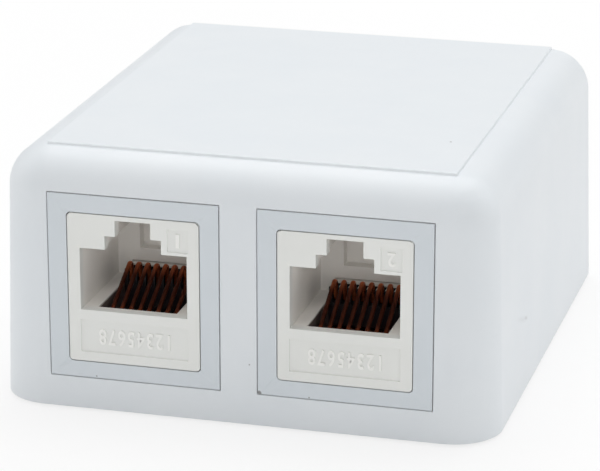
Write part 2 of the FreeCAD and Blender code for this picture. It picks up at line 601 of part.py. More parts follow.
def make_contact(label, across, number):
    """A spring contact: a strip folded back, rising to its crest, its end hanging in the comb."""
    place = f"{across} + contact_pitch * ({number - (CONTACTS + 1) / 2})"
    contact = Piece(label, jack_seat(place))
    skin = "contact_gauge / 2"
    corner = "tip_bend * (tan(45 + contact_slope / 2) - 1) - contact_crest"
    fold = f"contact_peak - (contact_run + {corner}) / tan(contact_slope)"
    tail = "board_front + board_thickness"
    fold_miter = f"{skin} / tan(contact_slope / 2)"
    tip_miter = f"{skin} * tan(45 + contact_slope / 2)"
    contact.add("strip", SIDE, "-contact_width / 2", "contact_width", [
        (tail, f"-contact_run - {skin}"),
        (tail, f"{skin} - contact_run"),
        (f"{fold} + {fold_miter}", f"{skin} - contact_run"),
        (f"contact_peak - {skin}", f"{corner} - {tip_miter}"),
        (f"contact_peak - {skin}", "-contact_tip"),
        (f"contact_peak + {skin}", "-contact_tip"),
        (f"contact_peak + {skin}", f"{corner} + {tip_miter}"),
        (f"{fold} - {fold_miter}", f"-contact_run - {skin}"),
    ], {2: f"contact_bend - {skin}", 6: f"tip_bend + {skin}", 7: f"contact_bend + {skin}"})


def make_board(label, across):
    """The circuit board with a row of contact holes and two rows of terminal holes."""
    board = Piece(label, jack_seat(across))
    board.add("laminate", FRONT, "board_front", "board_thickness",
              centred("0", "0", "board_width", "board_height"))
    contact_hole = board.cut("contact_hole", FRONT, "board_front", "board_thickness",
                             centred(f"-contact_pitch * {CONTACTS - 1} / 2", "-contact_run",
                                     "contact_hole", "contact_hole"))
    board.repeat("contact_holes", [contact_hole], "X_Axis", "contact_pitch", CONTACTS)
    first = f"-terminal_pitch * {ROW_TERMINALS - 1} / 2"
    for name, row in (("upper", "row_offset"), ("lower", "-row_offset")):
        hole = board.cut(f"{name}_terminal_hole", FRONT, "board_front", "board_thickness",
                         centred(first, row, "terminal_hole", "terminal_hole"))
        board.repeat(f"{name}_terminal_holes", [hole], "X_Axis", "terminal_pitch", ROW_TERMINALS)


def make_block(label, across):
    """The terminal block: a flange and spigot, and two rows of slotted towers."""
    block = Piece(label, jack_seat(across))
    front = "board_front + board_thickness + spigot_gap"
    towers = "housing_depth + block_flange"
    block.add("spigot", FRONT, front, f"housing_depth - ({front})",
              centred("0", "0", "board_width", "board_height"))
    block.add("flange", FRONT, "housing_depth", "block_flange",
              centred("0", "0", "shoulder_width", "shoulder_height"))
    row = block.add("tower_row", FRONT, towers, "tower_length",
                    centred("0", "row_offset", "row_width", "row_height"))
    block.mirror("lower_tower_row", [row], TOP)
    first = f"-terminal_pitch * {ROW_TERMINALS - 1} / 2"
    slot = block.cut("wire_slot", FRONT, f"{towers} + wire_slot_floor", "tower_length - wire_slot_floor",
                     centred(first, "0", "wire_slot", "shoulder_height"))
    block.repeat("wire_slots", [slot], "X_Axis", "terminal_pitch", ROW_TERMINALS)
    for name, row in (("upper", "row_offset"), ("lower", "-row_offset")):
        pocket = block.cut(f"{name}_blade_pocket", FRONT, f"{towers} - terminal_gap",
                           "tower_length + terminal_gap",
                           centred(first, row, "terminal_width + 2 * terminal_gap",
                                   "terminal_gauge + 2 * terminal_gap"))
        leg = block.cut(f"{name}_leg_hole", FRONT, front, f"{towers} - ({front})",
                        centred(first, row, "terminal_leg + 2 * terminal_gap",
                                "terminal_gauge + 2 * terminal_gap"))
        block.repeat(f"{name}_pockets", [pocket, leg], "X_Axis", "terminal_pitch", ROW_TERMINALS)


def make_terminal(label, across, number):
    """An insulation-displacement terminal: a forked blade with a tapered mouth, and a board leg."""
    column, upper = (number - 1) % ROW_TERMINALS, number <= ROW_TERMINALS
    row = "port_height - face_drop + row_offset" if upper else "port_height - face_drop - row_offset"
    place = f"{across} + terminal_pitch * ({column - (ROW_TERMINALS - 1) / 2})"
    terminal = Piece(label, (place, "-box_depth / 2", row))
    foot = "housing_depth + block_flange"
    end = "housing_depth + block_flange + tower_length - terminal_inset"
    terminal.add("blade", TOP, "-terminal_gauge / 2", "terminal_gauge", [
        ("-terminal_leg / 2", "board_front"), ("terminal_leg / 2", "board_front"),
        ("terminal_leg / 2", foot), ("terminal_width / 2", foot),
        ("terminal_width / 2", end), ("slit_mouth / 2", end),
        ("slit_width / 2", f"{end} - slit_mouth / 2"), ("slit_width / 2", f"{end} - slit_depth"),
        ("-slit_width / 2", f"{end} - slit_depth"), ("-slit_width / 2", f"{end} - slit_mouth / 2"),
        ("-slit_mouth / 2", end), ("-terminal_width / 2", end),
        ("-terminal_width / 2", foot), ("-terminal_leg / 2", foot),
    ])


def make_cap(label, across):
    """The rear cap: a shell over the towers with a round collar for the cable."""
    cap = Piece(label, jack_seat(across))
    front = "housing_depth + block_flange + cap_gap"
    inside = "tower_length + cap_clearance - cap_gap"
    cap.add("block", FRONT, front, f"{inside} + cap_back",
            centred("0", "0", "shoulder_width", "shoulder_height"),
            {corner: "cap_round" for corner in range(4)})
    back_line = value(f"{front} + {inside} + cap_back") - TINY
    rear = cap.edges(lambda box: box.YMin > back_line)
    cap.settle(cap.dress("Chamfer", "rear_bevel", "Size", "cap_bevel", rear), grows=False)
    cap.cut("hollow", FRONT, front, inside,
            centred("0", "0", "shoulder_width - 2 * cap_wall", "shoulder_height - 2 * cap_wall"))
    collar = f"{front} + {inside} + cap_back"
    cap.add("collar", FRONT, f"{collar} - cap_back / 2", "cap_back / 2 + gland_length",
            circles=[("0", "0", "cable_hole + 2 * gland_wall")])
    cap.cut("cable_hole", FRONT, front, f"{inside} + cap_back + gland_length",
            circles=[("0", "0", "cable_hole")])


def make_jack(side, across):
    """Every piece of one keystone jack, and the bezel that it snaps into."""
    make_bezel(f"{side}_bezel", across)
    make_housing(f"{side}_jack_housing", across)
    make_carrier(f"{side}_contact_carrier", across)
    make_board(f"{side}_circuit_board", across)
    make_block(f"{side}_terminal_block", across)
    make_cap(f"{side}_rear_cap", across)
    for number in range(1, CONTACTS + 1):
        make_contact(f"{side}_contact_{number}", across, number)
    for number in range(1, 2 * ROW_TERMINALS + 1):
        make_terminal(f"{side}_terminal_{number}", across, number)


def export():
    """Refuse a failed document, then write each sub-part to its own file."""
    doc.recompute()
    failed = [item.Label for item in doc.Objects if {"Invalid", "Error"} & set(item.State)]
    if failed:
        raise RuntimeError(f"failed objects: {failed}")
    tools = [tool for item in doc.Objects if item.TypeId == "PartDesign::Boolean" for tool in item.Group]
    bodies = [item for item in doc.Objects if item.TypeId == "PartDesign::Body" and item not in tools]
    for body in bodies:
        if body.Shape.isNull() or not body.Shape.isValid() or len(body.Shape.Solids) != 1:
            raise RuntimeError(f"{body.Label} is not one valid solid")
    os.makedirs("parts", exist_ok=True)
    for body in bodies:
        body.Shape.exportStep(f"parts/{body.Label}.step")
    print(f"{len(bodies)} sub-parts written")


make_cover()
make_base()
make_jack("left", "-port_pitch / 2")
make_jack("right", "port_pitch / 2")
export()
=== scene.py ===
"""Looks of a two-port surface mount jack box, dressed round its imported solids.

The cover, base and jacks keep their solids and get softened edges and moulded plastic. The spring
contacts are swept again as smooth strips, and raised digits stand in the jacks' label fields. Sizes
are millimetres in the frame of the solids: +Z up, the ports towards -Y, and the port face at FACE.
"""

import logging
import math
from dataclasses import dataclass
from enum import Enum
from typing import Any, Mapping, Sequence

import bpy
import numpy as np
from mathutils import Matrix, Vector


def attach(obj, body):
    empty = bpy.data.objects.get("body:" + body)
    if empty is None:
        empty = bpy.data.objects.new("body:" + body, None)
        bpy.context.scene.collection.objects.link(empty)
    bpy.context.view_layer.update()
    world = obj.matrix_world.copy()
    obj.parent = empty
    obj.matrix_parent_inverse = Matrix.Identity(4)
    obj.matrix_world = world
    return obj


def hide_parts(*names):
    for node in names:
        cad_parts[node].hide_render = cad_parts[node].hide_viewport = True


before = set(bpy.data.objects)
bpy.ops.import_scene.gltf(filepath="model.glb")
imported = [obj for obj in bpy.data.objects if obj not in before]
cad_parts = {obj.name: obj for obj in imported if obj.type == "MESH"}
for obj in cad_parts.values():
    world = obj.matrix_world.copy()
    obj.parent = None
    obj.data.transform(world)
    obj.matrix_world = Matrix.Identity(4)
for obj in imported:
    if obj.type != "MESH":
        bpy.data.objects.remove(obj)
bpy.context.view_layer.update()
MM = 0.001
FACE = -28.9
WELD_GAP = 0.002
LOG = logging.getLogger("jack_box")

Triple = tuple[float, float, float]


class Side(Enum):
    """The two ports, by the sign of their place across the box."""

    LEFT = -1
    RIGHT = 1

    @property
    def label(self) -> str:
        """The prefix of this side's pieces."""
        return self.name.lower()


# ---------------------------------------------------------------------------------------------
# Shader maths
# ---------------------------------------------------------------------------------------------
class Term:
    """A number inside a material, whose arithmetic adds Math nodes."""

    def __init__(self, tree: "Tree", socket: bpy.types.NodeSocket) -> None:
        """Keep the tree and the socket that carries the number."""
        self.tree = tree
        self.socket = socket

    def join(self, operation: str, *operands: "Term | float") -> "Term":
        """Put operands, or this number alone, through one Math node.

        Args:
            operation: The Math node's operation.
            operands: Numbers or terms, in the node's order.

        Returns:
            The node's result.
        """
        node = self.tree.node("Math", {"operation": operation}, dict(enumerate(operands or (self,))))
        return Term(self.tree, node.outputs[0])

    def __add__(self, other: "Term | float") -> "Term":
        """Sum."""
        return self.join("ADD", self, other)

    __radd__ = __add__

    def __sub__(self, other: "Term | float") -> "Term":
        """Difference."""
        return self.join("SUBTRACT", self, other)

    def __rsub__(self, other: "Term | float") -> "Term":
        """Difference from a number."""
        return self.join("SUBTRACT", other, self)

    def __mul__(self, other: "Term | float") -> "Term":
        """Product."""
        return self.join("MULTIPLY", self, other)

    __rmul__ = __mul__

    def __abs__(self) -> "Term":
        """Size without sign."""
        return self.join("ABSOLUTE")

    def most(self, other: "Term | float") -> "Term":
        """The larger of two numbers."""
        return self.join("MAXIMUM", self, other)

    def rise(self, low: float, high: float) -> "Term":
        """A smooth step from 0 at low to 1 at high.

        Args:
            low: Number at and below which the step is 0.
            high: Number at and above which the step is 1.

        Returns:
            The step.
        """
        node = self.tree.node("MapRange", {"interpolation_type": "SMOOTHSTEP"},
                              {"Value": self, "From Min": low, "From Max": high})
        return Term(self.tree, node.outputs["Result"])


class Tree:
    """The node tree of one material, in millimetres of Object coordinates."""

    def __init__(self, name: str) -> None:
        """Start an empty material.

        Args:
            name: The material's name.
        """
        self.material = bpy.data.materials.new(name)
        self.material.use_nodes = True
        self.nodes = self.material.node_tree.nodes
        self.nodes.clear()
        coordinates = self.node("TexCoord")
        scaled = self.node("VectorMath", {"operation": "SCALE"},
                           {0: coordinates.outputs["Object"], "Scale": 1 / MM})
        self.point = scaled.outputs[0]

    def node(self, kind: str, settings: Mapping[str, Any] | None = None,
             inputs: Mapping[Any, Any] | None = None) -> bpy.types.Node:
        """Add a node, with its settings first and then the values or links of its sockets.

        Args:
            kind: The node's type, without its ShaderNode prefix.
            settings: Attributes of the node.
            inputs: Socket name or number to a value, a term or a socket.

        Returns:
            The node.
        """
        made = self.nodes.new(f"ShaderNode{kind}")
        for key, setting in (settings or {}).items():
            setattr(made, key, setting)
        for key, given in (inputs or {}).items():
            source = given.socket if isinstance(given, Term) else given
            if isinstance(source, bpy.types.NodeSocket):
                self.material.node_tree.links.new(source, made.inputs[key])
            else:
                made.inputs[key].default_value = source
        return made

    def around(self, centre: Triple, reach: Triple = (1.0, 1.0, 1.0),
               turn: Triple = (0.0, 0.0, 0.0)) -> bpy.types.NodeSocket:
        """The place measured from a centre, in units of a reach along each axis.

        Args:
            centre: The centre, in millimetres.
            reach: Millimetres that count as one unit, along each turned axis.
            turn: Turn of the axes, in degrees.

        Returns:
            A vector socket.
        """
        moved = self.node("VectorMath", {"operation": "SUBTRACT"}, {0: self.point, 1: centre})
        turned = self.node("Mapping", {"vector_type": "POINT"},
                           {"Vector": moved.outputs[0], "Rotation": [math.radians(a) for a in turn]})
        shared = self.node("VectorMath", {"operation": "DIVIDE"}, {0: turned.outputs[0], 1: reach})
        return shared.outputs[0]

    def axes(self, vector: bpy.types.NodeSocket | None = None) -> list[Term]:
        """The x, y and z of a vector, or of the place itself."""
        parts = self.node("SeparateXYZ", None, {0: vector or self.point})
        return [Term(self, socket) for socket in parts.outputs]

    def noise(self, scale: float, detail: float = 2.0, roughness: float = 0.5,
              vector: bpy.types.NodeSocket | None = None) -> Term:
        """Cloudy noise about 0.5.

        Args:
            scale: Waves in a millimetre.
            detail: Octaves.
            roughness: Strength of the finer octaves.
            vector: Place to read instead of the piece's own.

        Returns:
            The noise.
        """
        made = self.node("TexNoise", {"noise_dimensions": "3D"},
                         {"Vector": vector or self.point, "Scale": scale, "Detail": detail,
                          "Roughness": roughness})
        return Term(self, made.outputs[0])

    def flecks(self, scale: float, share: float, size: float, hard: float = 0.6,
               sure: float = 0.7) -> Term:
        """Sparse round flecks: cells of a Voronoi pattern, kept where the cell's own chance is high.

        Args:
            scale: Cells in a millimetre.
            share: Share of the cells that hold a fleck.
            size: Radius of a fleck in units of a cell.
            hard: Share of the radius at which a fleck begins to fade.
            sure: Share of the chosen cells that hold a fleck of full strength.

        Returns:
            1 inside a fleck and 0 outside.
        """
        cells = self.node("TexVoronoi", {"feature": "F1"}, {"Vector": self.point, "Scale": scale})
        chance = self.axes(cells.outputs["Color"])[0]
        near = 1 - Term(self, cells.outputs["Distance"]).rise(size * hard, size)
        return near * chance.rise(1 - share, 1 - share * sure)

    def colour(self, factor: Term, first: Any, second: Any) -> bpy.types.NodeSocket:
        """Mix two colours.

        Args:
            factor: Share of the second colour.
            first: A colour or a socket.
            second: A colour or a socket.

        Returns:
            The mixed colour.
        """
        given = [(*c, 1.0) if isinstance(c, tuple) else c for c in (first, second)]
        made = self.node("Mix", {"data_type": "RGBA"}, {0: factor, 6: given[0], 7: given[1]})
        return made.outputs[2]

    def bump(self, height: Term, distance: float, strength: float = 1.0) -> bpy.types.NodeSocket:
        """A normal tilted by a height.

        Args:
            height: The height, from 0 to 1.
            distance: Millimetres that a height of 1 stands for.
            strength: Strength of the tilt.

        Returns:
            The normal.
        """
        made = self.node("Bump", None, {"Height": height, "Distance": distance * MM, "Strength": strength})
        return made.outputs["Normal"]

    def surface(self, **inputs: Any) -> bpy.types.Material:
        """Close the material with a Principled shader, whose sockets are named with _ for a space."""
        named = {key.replace("_", " "): given for key, given in inputs.items()}
        shader = self.node("BsdfPrincipled", None, named)
        self.node("OutputMaterial", None, {"Surface": shader.outputs[0]})
        return self.material


def srgb(red: int, green: int, blue: int) -> Triple:
    """A colour written as 0 to 255, as the linear numbers that a shader takes."""
    return tuple(((c / 255 + 0.055) / 1.055) ** 2.4 for c in (red, green, blue))


# ---------------------------------------------------------------------------------------------
# Finishes
# ---------------------------------------------------------------------------------------------
@dataclass(frozen=True)
class Spot:
    """A mark on a moulding, or a patch of painted shade: its place and half lengths in millimetres, its
    darkness and its edge.

    The fade begins at the core's share of the reach, and the ragged share is how far noise moves it.
    """

    centre: Triple
    reach: Triple
    depth: float = 0.6
    turn: Triple = (0.0, 0.0, 0.0)
    ragged: float = 0.3
    core: float = 0.55
    waves: float = 2.5
    least_reach: float = 0.1

    def cover(self, tree: Tree) -> Term:
        """Where the mark lies: the distance in units of its reach, shaken by noise.

        Args:
            tree: The material that it marks.

        Returns:
            1 inside the mark and 0 outside.
        """
        measured = tree.node("VectorMath", {"operation": "LENGTH"},
                             {0: tree.around(self.centre, self.reach, self.turn)})
        distance = Term(tree, measured.outputs["Value"])
        shake = tree.noise(self.waves / max(min(self.reach), self.least_reach), 3.0) - 0.5
        return 1 - (distance + shake * self.ragged * 2).rise(self.core, 1.0)


@dataclass(frozen=True)
class Zone:
    """A tint that sets in between two depths behind the port face, in a rectangle across and up: painted
    light or shade in a port's hollows, or a band of a piece's own colour.

    It has no far end, so it carries on through whatever stands behind in the same material.
    """

    tint: Triple
    depth: tuple[float, float]
    centre: tuple[float, float] = (0.0, 0.0)
    half: tuple[float, float] = (100.0, 100.0)
    fade: float = 0.25

    def cover(self, tree: Tree) -> Term:
        """Where the zone lies: past its depth, and not outside its rectangle.

        Args:
            tree: The material that uses it.

        Returns:
            1 inside and 0 outside.
        """
        x, y, z = tree.axes(tree.around((self.centre[0], FACE, self.centre[1])))
        outside = (abs(x) - self.half[0]).most(abs(z) - self.half[1])
        return y.rise(*self.depth) * (1 - outside.rise(0.0, self.fade))


@dataclass(frozen=True)
class MouldedPlastic:
    """Satin moulded plastic: a near-flat colour with clouding, spark grain, specks, marks, zones of
    painted light or shade, and painted light on window walls and a panel's front step.

    Scales are waves in a millimetre, and a window is the place of its middle in the port face.
    """

    name: str
    tint: Triple
    shade: Triple
    roughness: float = 0.39
    grain: float = 0.004
    cloud_scale: float = 0.07
    fine_scale: float = 1.4
    grain_scale: float = 6.5
    speck: Triple = (0.22, 0.035, 0.045)
    speck_depth: float = 0.35
    spots: tuple[Spot, ...] = ()
    windows: tuple[Triple, ...] = ()
    window_half: tuple[float, float] = (9.5, 10.3)
    # Painted light: the colour laid on the windows' walls, which stand in shade.
    painted_light: Triple = srgb(254, 254, 254)
    # The colour of specks and marks, and of painted shade where a spot stands for it.
    dirt: Triple = srgb(96, 92, 86)
    zones: tuple[Zone, ...] = ()
    panel: tuple[float, float] | None = None
    # Painted light: the colour laid on the panel's front step, which stands in shade.
    step: Triple = srgb(246, 250, 253)

    def window_painted_light(self, tree: Tree) -> Term:
        """Where painted light lies on the walls of the front's windows.

        The distance to a window's edge is the larger of its overshoots across and up. The painted light
        fades with it, starts just behind the face and ends with the window's wall.

        Args:
            tree: The material that it polishes.

        Returns:
            1 on the walls and 0 elsewhere.
        """
        total = None
        for centre in self.windows:
            x, y, z = tree.axes(tree.around(centre))
            across, up = abs(x) - self.window_half[0], abs(z) - self.window_half[1]
            wall = (1 - abs(across.most(up)).rise(0.05, 0.3)) * y.rise(0.05, 0.3) * (1 - y.rise(1.2, 1.8))
            total = wall if total is None else total.most(wall)
        return total

    def panel_painted_light(self, tree: Tree) -> Term:
        """Where painted light lies on the front step of a raised panel, from its place along Y and its
        foot.

        Args:
            tree: The material that it polishes.

        Returns:
            1 on the step and 0 elsewhere.
        """
        front, foot = self.panel
        y, z = tree.axes()[1:]
        return (1 - abs(y - front).rise(0.02, 0.1)) * z.rise(foot - 0.05, foot + 0.02)

    def material(self) -> bpy.types.Material:
        """Make the material.

        Returns:
            The finished material.
        """
        tree = Tree(self.name)
        cloud = tree.noise(self.cloud_scale, 3.0, 0.6)
        fine = tree.noise(self.fine_scale, 4.0, 0.65)
        grain = tree.noise(self.grain_scale, 3.0, 0.7)
        base = tree.colour(cloud.rise(0.25, 0.75) * 0.7 + fine * 0.3, self.tint, self.shade)
        # Zones paint light or shade into the hollows, or lay a band of a piece's own colour.
        for zone in self.zones:
            base = tree.colour(zone.cover(tree) * (0.85 + cloud * 0.3), base, zone.tint)
        base = tree.colour(tree.flecks(*self.speck) * self.speck_depth, base, self.dirt)
        # Spots are marks, or patches of painted shade.
        for spot in self.spots:
            base = tree.colour(spot.cover(tree) * spot.depth, base, self.dirt)
        # Painted light on the windows' walls and on the panel's front step.
        for wanted, place, bright in ((self.windows, self.window_painted_light, self.painted_light),
                                      (self.panel, self.panel_painted_light, self.step)):
            if wanted:
                base = tree.colour(place(tree) * (0.9 + fine * 0.1), base, bright)
        rough = self.roughness + (fine - 0.5) * 0.12 + (cloud - 0.5) * 0.08
        return tree.surface(Base_Color=base, Roughness=rough, IOR=1.5,
                            Normal=tree.bump(grain * 0.6 + fine * 0.4, self.grain, 0.7))


@dataclass(frozen=True)
class SpringMetal:
    """Drawn spring strip: thin plating over bronze, with lengthwise streaks and dull patches.

    Where shaded is given, painted shade in the darker colour covers the strip about that place along Y,
    for a half length each way.
    """

    name: str
    plating: Triple
    tarnish_and_shade: Triple
    roughness: float = 0.32
    wear: float = 0.5
    shaded: tuple[float, float] | None = None
    streak: Triple = (0.05, 2.4, 2.4)
    patch_scale: float = 0.9
    scratch: float = 0.0015

    def material(self) -> bpy.types.Material:
        """Make the material.

        Returns:
            The finished material.
        """
        tree = Tree(self.name)
        streaks = tree.noise(1.0, 3.0, 0.6, tree.around((0.0, 0.0, 0.0), self.streak))
        patches = tree.noise(self.patch_scale, 4.0, 0.6)
        wear_and_shade = (patches + streaks * 0.35).rise(0.55, 0.85) * self.wear
        # Painted shade: the strip is darkened about a place along Y, where it stands in shade.
        if self.shaded:
            middle, half = self.shaded
            painted_shade = 1 - abs(tree.axes()[1] - middle).rise(half * 0.4, half)
            wear_and_shade = wear_and_shade.most(painted_shade * 0.9)
        base = tree.colour(wear_and_shade, self.plating, self.tarnish_and_shade)
        rough = self.roughness + wear_and_shade * 0.25 + (streaks - 0.5) * 0.2
        return tree.surface(Base_Color=base, Metallic=1.0, Roughness=rough,
                            Normal=tree.bump(streaks, self.scratch, 0.4))


@dataclass(frozen=True)
class BoardLaminate:
    """Glass laminate under green resist: a woven ground, with a row of tinned rings across it."""

    name: str
    resist: Triple
    glass: Triple
    tin: Triple
    centre: Triple
    pitch: float
    row: float
    weave: float = 2.4
    ring: tuple[float, float] = (0.42, 0.48)
    relief: float = 0.02

    def material(self) -> bpy.types.Material:
        """Make the material.

        The weave is the product of two square-on waves. A ring is where the distance to the nearest
        whole pitch from the middle, at the height of the contacts' row, is under its radius. The rings
        run on to the board's edges. Eight contacts stand at half pitches, so the rings fall between
        their holes.

        Returns:
            The finished material.
        """
        tree = Tree(self.name)
        x, _, z = tree.axes(tree.around(self.centre))
        warp, weft = ((axis * self.weave * math.tau).join("SINE") for axis in (x, z))
        cloth = (warp * weft) * 0.5 + 0.5
        ground = tree.colour(cloth * 0.4 + tree.noise(0.8, 3.0) * 0.3, self.resist, self.glass)
        step = x * (1 / self.pitch)
        away = abs(step - step.join("ROUND")) * self.pitch
        height = abs(z + self.row)
        pads = 1 - (away * away + height * height).join("SQRT").rise(*self.ring)
        base = tree.colour(pads, ground, self.tin)
        return tree.surface(Base_Color=base, Metallic=pads * 0.9, Roughness=0.28 + cloth * 0.1,
                            Normal=tree.bump(cloth * 0.5 + pads * 0.5, self.relief, 0.5))


# ---------------------------------------------------------------------------------------------
# Meshes
# ---------------------------------------------------------------------------------------------
def link(name: str, data: bpy.types.ID) -> bpy.types.Object:
    """Make an object of a mesh, text, lamp or camera, linked to the scene."""
    made = bpy.data.objects.new(name, data)
    bpy.context.scene.collection.objects.link(made)
    return made


def tube(name: str, path: np.ndarray, profile: np.ndarray, across: float) -> bpy.types.Object:
    """Carry a closed profile along a path in an upright plane, and close both ends.

    A point of the surface is path(s) + profile_x(t) across the plane + profile_y(t) along the
    path's normal at s, where the normal is the path's direction turned a quarter.

    Args:
        name: The object's name.
        path: Places along the path as (depth, height) rows, in millimetres.
        profile: Points of the profile as (across, normal) rows, in millimetres.
        across: Place of the plane along x, in millimetres.

    Returns:
        The mesh object.
    """
    heading = np.gradient(path, axis=0)
    heading /= np.linalg.norm(heading, axis=1, keepdims=True)
    normal = np.stack([-heading[:, 1], heading[:, 0]], axis=1)
    stations, points = len(path), len(profile)
    grid = np.empty((stations, points, 3))
    grid[..., 0] = across + profile[None, :, 0]
    grid[..., 1:] = path[:, None, :] + normal[:, None, :] * profile[None, :, 1, None]
    index = np.arange(stations * points).reshape(stations, points)
    after = np.roll(index, -1, axis=1)
    quads = np.stack([index[:-1], index[1:], after[1:], after[:-1]], axis=-1).reshape(-1, 4)
    faces = quads.tolist() + [index[0].tolist(), index[-1, ::-1].tolist()]
    return mesh_object(name, grid.reshape(-1, 3), faces)


def mesh_object(name: str, points: np.ndarray, faces: Sequence[Sequence[int]]) -> bpy.types.Object:
    """Put points in millimetres and faces into a smooth mesh object at the origin.

    Args:
        name: The object's name.
        points: Rows of x, y and z.
        faces: Indices of each face's points.

    Returns:
        The object, linked to the scene.
    """
    mesh = bpy.data.meshes.new(name)
    mesh.from_pydata((points * MM).tolist(), [], faces)
    mesh.update()
    mesh.shade_smooth()
    return link(name, mesh)


def arc(centre: tuple[float, float], radius: float, start: float, end: float, count: int) -> np.ndarray:
    """Points on an arc: centre + radius (cos a, sin a) for angles a in degrees.

    Args:
        centre: Centre as (depth, height).
        radius: Radius.
        start: First angle.
        end: Last angle.
        count: Number of points.

    Returns:
        Rows of (depth, height).
    """
    angle = np.radians(np.linspace(start, end, count))
    return np.array(centre) + radius * np.stack([np.cos(angle), np.sin(angle)], axis=1)


def rounded_profile(width: float, height: float, power: float, count: int) -> np.ndarray:
    """A rectangle with soft corners: a superellipse, |2x/width|^power + |2y/height|^power = 1.

    Args:
        width: Whole width.
        height: Whole height.
        power: Squareness; 2 is an ellipse.
        count: Number of points.

    Returns:
        Rows of (across, normal), counter-clockwise.
    """
    angle = np.linspace(0, math.tau, count, endpoint=False)
    wave = np.stack([np.cos(angle), np.sin(angle)], axis=1)
    return np.sign(wave) * np.abs(wave) ** (2 / power) * np.array([width / 2, height / 2])


def digits(name: str, text: str, size: Triple, centre: Triple) -> bpy.types.Object:
    """Raised digits on a face that looks towards -Y, upside down as the jack is mounted.

    They are set as plain type, measured, and stretched to their size about their middle.

    Args:
        name: The object's name.
        text: The digits.
        size: Width and height of the text and how far it stands out, in millimetres.
        centre: Middle of the text, in millimetres.

    Returns:
        The mesh object at the origin.
    """
    curve = bpy.data.curves.new(name, "FONT")
    curve.body = text
    curve.align_x = "CENTER"
    curve.size = 1.4
    curve.extrude = 0.05
    curve.offset = 0.025
    curve.space_character = 1.25
    curve.resolution_u = 4
    source = link(f"{name}_source", curve)
    bpy.context.view_layer.update()
    evaluated = source.evaluated_get(bpy.context.evaluated_depsgraph_get())
    mesh = bpy.data.meshes.new_from_object(evaluated)
    bpy.data.objects.remove(source)
    flat = np.empty(len(mesh.vertices) * 3)
    mesh.vertices.foreach_get("co", flat)
    flat = flat.reshape(-1, 3)
    lowest, highest = flat.min(axis=0), flat.max(axis=0)
    local = (flat - (lowest + highest) / 2) * np.array(size) / (highest - lowest)
    placed = np.array(centre) - local[:, [0, 2, 1]]
    mesh.vertices.foreach_set("co", (placed * MM).ravel())
    mesh.name = name
    mesh.update()
    return link(name, mesh)


def soften(node: bpy.types.Object, width: float, segments: int = 2, angle: float = 40.0) -> None:
    """Give a moulding's edges a small radius and even normals, by modifiers alone.

    Args:
        node: The object.
        width: Width of the rounded edge, in millimetres.
        segments: Faces across the rounded edge.
        angle: Edges sharper than this are rounded, in degrees.
    """
    node.data.shade_smooth()
    weld = node.modifiers.new("Weld", "WELD")
    weld.merge_threshold = WELD_GAP * MM
    bevel = node.modifiers.new("Bevel", "BEVEL")
    bevel.width = width * MM
    bevel.segments = segments
    bevel.limit_method = "ANGLE"
    bevel.angle_limit = math.radians(angle)
    bevel.use_clamp_overlap = False
    bevel.miter_outer = "MITER_ARC"
    bevel.harden_normals = True
    weighted = node.modifiers.new("Normals", "WEIGHTED_NORMAL")
    weighted.mode = "FACE_AREA_WITH_ANGLE"
    weighted.keep_sharp = True
    weighted.weight = 100


def dress(objects: Sequence[bpy.types.Object], material: bpy.types.Material) -> None:
    """Give every object one material in place of what it has."""
    for item in objects:
        item.data.materials.clear()
        item.data.materials.append(material)


# ---------------------------------------------------------------------------------------------
# The box's pieces
# ---------------------------------------------------------------------------------------------
@dataclass
class Cover:
    """The drafted cover with its raised top panel and two windows."""

    port_offset: float = 11.5
    port_height: float = 14.0
    top: float = 28.5
    panel_front: float = -24.6
    panel_rise: float = 0.3
    edge: float = 0.1

    def marks(self) -> tuple[Spot, ...]:
        """The specks and scuffs that the cover has picked up.

        Returns:
            The marks, in millimetres in the frame.
        """
        return (
            Spot((19.2, -13.8, self.top), (0.16, 0.2, 0.3), 0.55),
            Spot((-8.3, FACE, 25.3), (0.13, 0.3, 0.13), 0.6),
            Spot((1.2, FACE, 7.0), (0.12, 0.3, 0.12), 0.5),
            Spot((27.2, -10.6, 8.3), (0.8, 1.2, 0.32), 0.22, (17.5, 0.0, 0.0), core=0.0),
            Spot((27.2, -12.6, 8.8), (0.8, 4.0, 0.5), 0.08, (17.5, 0.0, 0.0), ragged=0.6, core=0.0),
        )

    def build(self) -> None:
        """Soften the moulding and dress it."""
        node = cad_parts["cover"]
        soften(node, self.edge)
        windows = tuple((side.value * self.port_offset, FACE, self.port_height) for side in Side)
        # The windows' walls and the panel's front step get painted light.
        finish = MouldedPlastic("cover_plastic", srgb(235, 239, 242), srgb(230, 235, 239),
                                spots=self.marks(), windows=windows,
                                panel=(self.panel_front, self.top - self.panel_rise))
        dress([node], finish.material())
        LOG.info("cover: edges %.2f mm, %d marks", self.edge, len(finish.spots))


@dataclass
class WallBase:
    """The base that is screwed to the wall."""

    edge: float = 0.06

    def build(self) -> None:
        """Soften the moulding and dress it."""
        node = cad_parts["base"]
        soften(node, self.edge)
        finish = MouldedPlastic("base_plastic", srgb(232, 235, 237), srgb(226, 230, 233),
                                roughness=0.5, grain=0.01)
        dress([node], finish.material())
        LOG.info("base: edges %.2f mm", self.edge)


